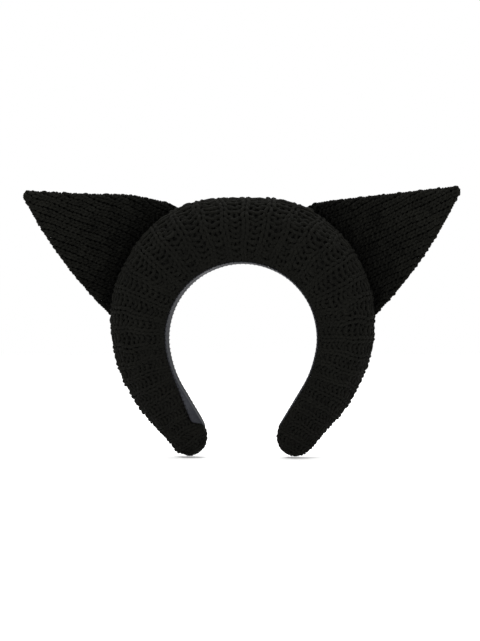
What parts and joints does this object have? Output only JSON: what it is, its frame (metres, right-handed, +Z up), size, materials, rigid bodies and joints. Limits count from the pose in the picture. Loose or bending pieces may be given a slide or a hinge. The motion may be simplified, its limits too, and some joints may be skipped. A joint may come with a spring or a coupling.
{
  "type": "cat ear headband",
  "caption": "Thick padded headband in a rib-knit cover with a satin lining and two flat knitted cat ears sewn to its shoulders.",
  "frame": {"origin": "centre of the head circle that the crown's lining lies on", "axes": "+Z up through the crown, +X to the right of a person facing the front, +Y from the front of the band to the back; left and right are as that person sees them"},
  "size_m": [0.3494, 0.05, 0.2161],
  "materials": {
    "rib_knit": "chunky matt wool rib",
    "ear_knit": "matt wool stocking stitch",
    "satin": "black satin ribbon",
    "foam": "open-cell foam",
    "hoop": "moulded spring plastic",
    "felt": "stiffened felt board",
    "wadding": "polyester wadding",
    "thread": "sewing thread"
  },
  "bodies": {
    "crown": {"cover_crown": "rib_knit", "cover_left_bend": "rib_knit", "cover_right_bend": "rib_knit", "hem_seam_crown": "thread", "hoop_crown": "hoop", "left_ear_base_seam": "ear_knit", "lining_crown": "satin", "padding_crown": "foam", "padding_left_bend": "foam", "padding_right_bend": "foam", "right_ear_base_seam": "ear_knit"},
    "left_leg": {"cover_left_leg": "rib_knit", "hem_seam_left_leg": "thread", "hoop_left_leg": "hoop", "lining_left_leg": "satin", "padding_left_leg": "foam"},
    "right_leg": {"cover_right_leg": "rib_knit", "hem_seam_right_leg": "thread", "hoop_right_leg": "hoop", "lining_right_leg": "satin", "padding_right_leg": "foam"},
    "left_ear": {"left_ear_back_panel": "ear_knit", "left_ear_back_wadding": "wadding", "left_ear_front_panel": "ear_knit", "left_ear_front_wadding": "wadding", "left_ear_rim_seam": "ear_knit", "left_ear_stiffener": "felt"},
    "right_ear": {"right_ear_back_panel": "ear_knit", "right_ear_back_wadding": "wadding", "right_ear_front_panel": "ear_knit", "right_ear_front_wadding": "wadding", "right_ear_rim_seam": "ear_knit", "right_ear_stiffener": "felt"}
  },
  "joints": [
    {"name": "left_leg_flex", "type": "hinge", "parent": "crown", "child": "left_leg", "pos_m": [-0.06394, 0, 0.00447], "axis": [0, 1, 0], "range_deg": [-4, 14], "stiffness_Nm_per_rad": 2, "deforming": ["cover_left_bend", "padding_left_bend"]},
    {"name": "right_leg_flex", "type": "hinge", "parent": "crown", "child": "right_leg", "pos_m": [0.06394, 0, 0.00447], "axis": [0, -1, 0], "range_deg": [-4, 14], "stiffness_Nm_per_rad": 2, "deforming": ["cover_right_bend", "padding_right_bend"]},
    {"name": "left_ear_tilt", "type": "hinge", "parent": "crown", "child": "left_ear", "pos_m": [-0.09306, 0.003, 0.07141], "axis": [0.6088, 0, 0.7934], "range_deg": [-35, 35], "stiffness_Nm_per_rad": 0.15, "deforming": ["left_ear_base_seam"]},
    {"name": "right_ear_tilt", "type": "hinge", "parent": "crown", "child": "right_ear", "pos_m": [0.09306, 0.003, 0.07141], "axis": [0.6088, 0, -0.7934], "range_deg": [-35, 35], "stiffness_Nm_per_rad": 0.15, "deforming": ["right_ear_base_seam"]}
  ]
}
